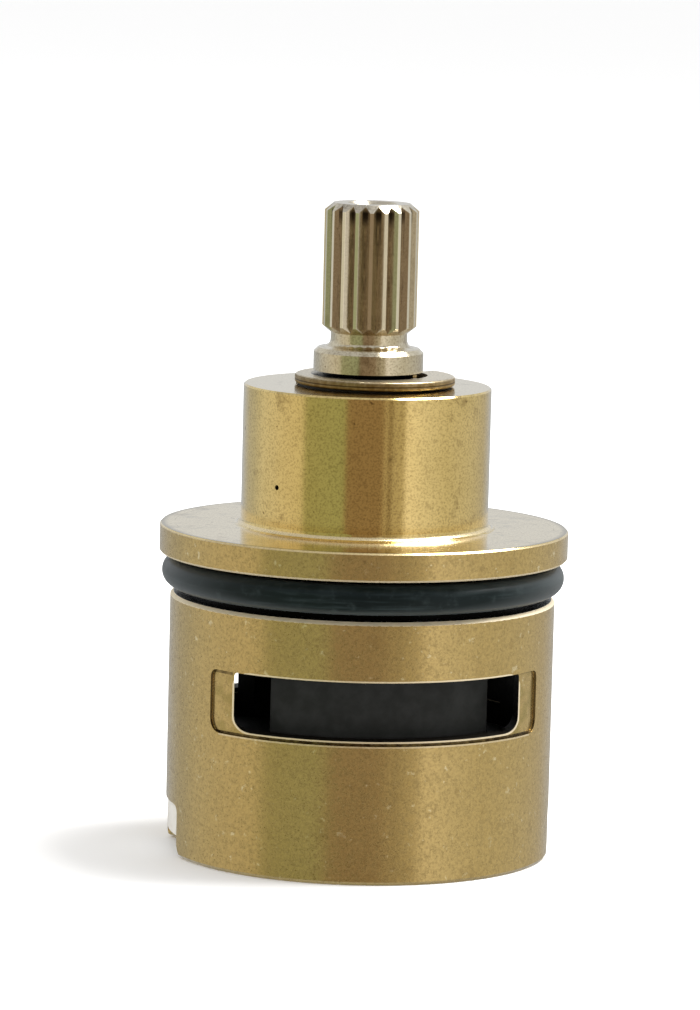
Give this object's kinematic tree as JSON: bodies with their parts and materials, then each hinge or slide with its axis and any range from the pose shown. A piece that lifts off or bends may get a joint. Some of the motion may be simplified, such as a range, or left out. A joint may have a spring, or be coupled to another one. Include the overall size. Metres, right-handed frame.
{
  "type": "ceramic disc diverter cartridge",
  "caption": "Brass diverter valve cartridge with splined spindle, flanged hub, sealing O-ring, windowed skirt and ceramic discs that send water to either of two outlets.",
  "frame": {"origin": "centre of the bottom rim of the skirt, the cartridge's lowest plane", "axes": "+Z along the spindle towards the handle, -Y through the middle of one water window and +Y through the other, -X and +X through the keying notches and the two outlets"},
  "size_m": [0.035, 0.035, 0.0558],
  "materials": {
    "body_brass": "turned, lightly tarnished",
    "spindle_brass": "turned and rolled, pale",
    "clip_bronze": "stamped spring bronze",
    "ring_rubber": "moulded, slightly glossy",
    "seal_rubber": "moulded, matt",
    "black_acetal": "stamped sheet",
    "washer_plastic": "stamped sheet",
    "pin_steel": "ground",
    "carrier_plastic": "moulded, glass filled",
    "moving_ceramic": "lapped alumina",
    "fixed_ceramic": "lapped alumina",
    "base_plastic": "moulded"
  },
  "bodies": {
    "housing": {"valve_body": "body_brass", "body_o_ring": "ring_rubber", "slip_washer": "black_acetal", "thrust_washer": "washer_plastic", "stop_pin": "pin_steel", "fixed_disc": "fixed_ceramic", "base_plate": "base_plastic", "outlet_seal_left": "seal_rubber", "outlet_seal_right": "seal_rubber"},
    "rotor": {"spindle": "spindle_brass", "retaining_clip": "clip_bronze", "spindle_o_ring_upper": "ring_rubber", "spindle_o_ring_lower": "ring_rubber", "disc_carrier": "carrier_plastic", "moving_disc": "moving_ceramic"}
  },
  "joints": [
    {"name": "spindle_turn", "type": "hinge", "parent": "housing", "child": "rotor", "pos_m": [0, 0, 0.04], "axis": [0, 0, 1], "range_deg": [-90, 90]}
  ]
}
